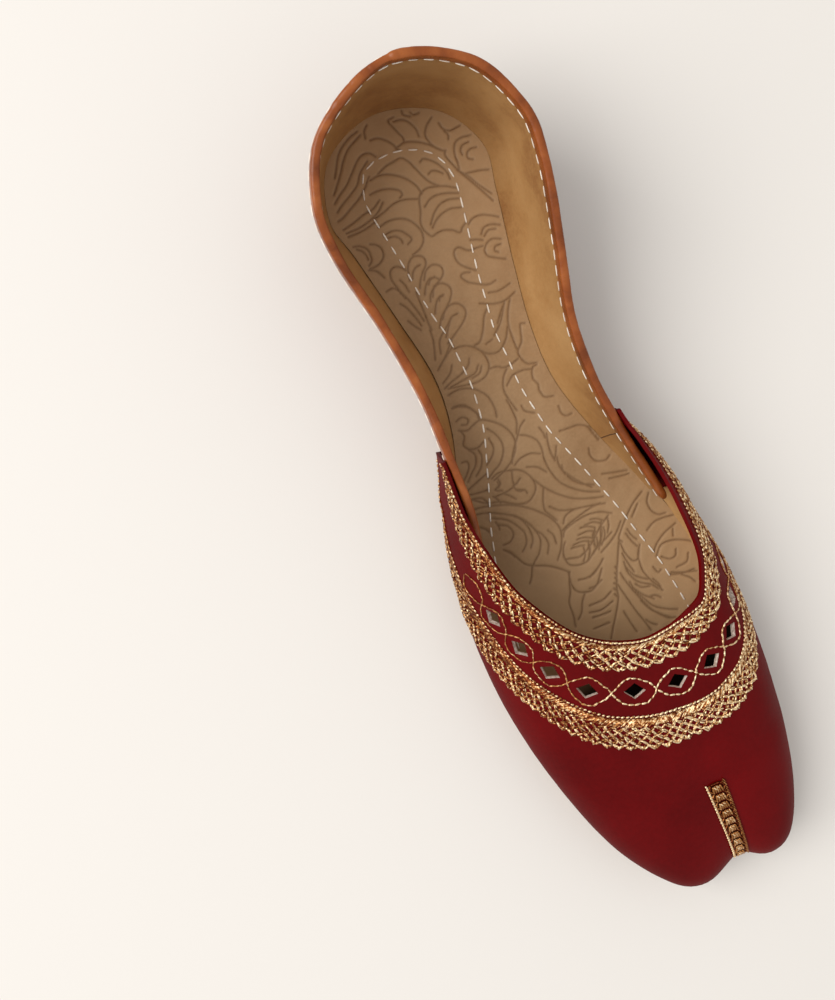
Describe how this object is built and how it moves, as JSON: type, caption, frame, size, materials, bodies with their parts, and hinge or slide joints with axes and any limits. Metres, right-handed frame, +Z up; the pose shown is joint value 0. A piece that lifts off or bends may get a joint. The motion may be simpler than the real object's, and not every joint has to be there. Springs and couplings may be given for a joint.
{
  "type": "mojari shoe",
  "caption": "Right-foot mojari: soft leather slip-on with a two-lobed toe, cut-out and embroidered vamp, bound low collar, insole and flat leather sole.",
  "frame": {"origin": "middle of the shoe's outline on the floor", "axes": "+Z up, toe towards -Y, heel towards +Y, inner side of the foot towards +X"},
  "size_m": [0.0804, 0.256, 0.056],
  "materials": {
    "sole_leather": "satin",
    "heel_leather": "satin",
    "insole_leather": "matte, embossed",
    "maroon_leather": "glossy, fine grain",
    "tan_leather": "glossy",
    "gold_thread": "metallic thread",
    "gold_braid": "metallic thread"
  },
  "bodies": {
    "root": {"outsole": "sole_leather", "heel_lift": "heel_leather", "insole": "insole_leather", "upper": "maroon_leather", "collar_binding": "tan_leather", "embroidery_inner": "gold_thread", "embroidery_outer": "gold_thread", "toe_braid": "gold_braid"}
  },
  "joints": []
}
